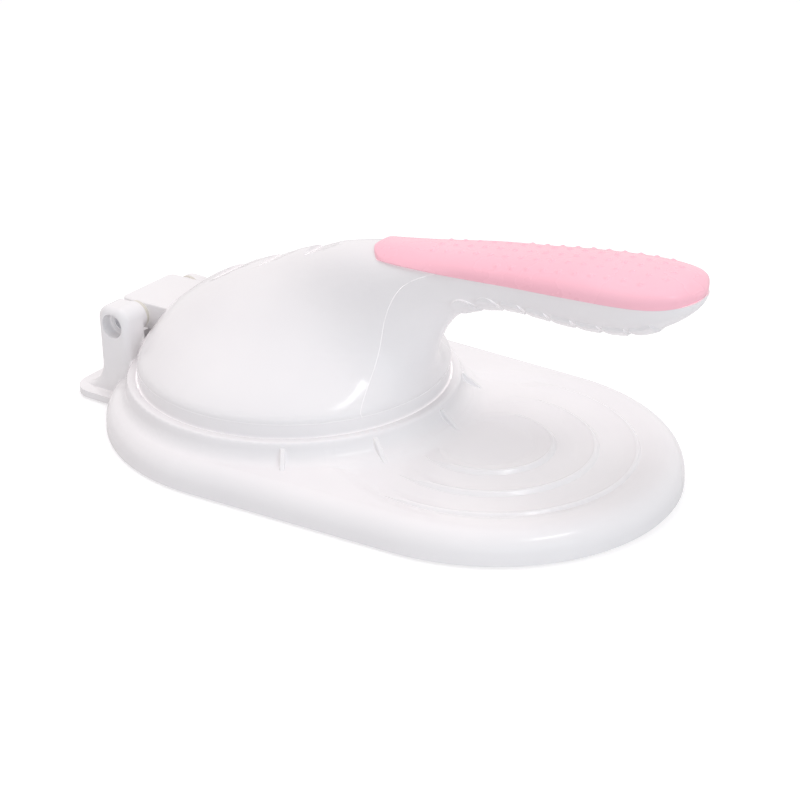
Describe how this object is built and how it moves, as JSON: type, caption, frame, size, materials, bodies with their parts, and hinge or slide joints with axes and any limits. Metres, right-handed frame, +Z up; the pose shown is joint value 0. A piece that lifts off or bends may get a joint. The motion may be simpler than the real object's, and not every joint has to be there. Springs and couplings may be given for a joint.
{
  "type": "dumpling wrapper press",
  "caption": "Hand press with a domed, hinged lid and long soft-grip handle that closes into a round bed; a shallow ridged filling tray sits beside it.",
  "frame": {"origin": "on the table, under the middle of the closed press's overall box", "axes": "+X from the hinge to the tray and the handle's free end, +Y to the back along the hinge pin, +Z up"},
  "size_m": [0.2232, 0.1364, 0.0809],
  "materials": {
    "white_plastic": "glossy white moulded plastic",
    "pink_grip": "satin pink soft plastic with small raised dots",
    "steel": "plain steel",
    "foot_rubber": "pale matt rubber",
    "bush_plastic": "plain natural plastic"
  },
  "bodies": {
    "base": {"base_shell": "white_plastic", "press_bed": "white_plastic", "bed_screws": "steel", "bottom_cover": "white_plastic", "cover_screws": "steel", "hinge_pin": "steel", "foot_hinge_front": "foot_rubber", "foot_hinge_back": "foot_rubber", "foot_middle_front": "foot_rubber", "foot_middle_back": "foot_rubber", "foot_tray_front": "foot_rubber", "foot_tray_back": "foot_rubber"},
    "lid": {"lid_shell": "white_plastic", "press_plate": "white_plastic", "handle_channel": "white_plastic", "handle_screws": "steel", "soft_grip": "pink_grip", "hinge_bush_front": "bush_plastic", "hinge_bush_back": "bush_plastic"}
  },
  "joints": [
    {"name": "lid_hinge", "type": "hinge", "parent": "base", "child": "lid", "pos_m": [-0.0928, 0, 0.029], "axis": [0, -1, 0], "range_deg": [0, 100]}
  ]
}
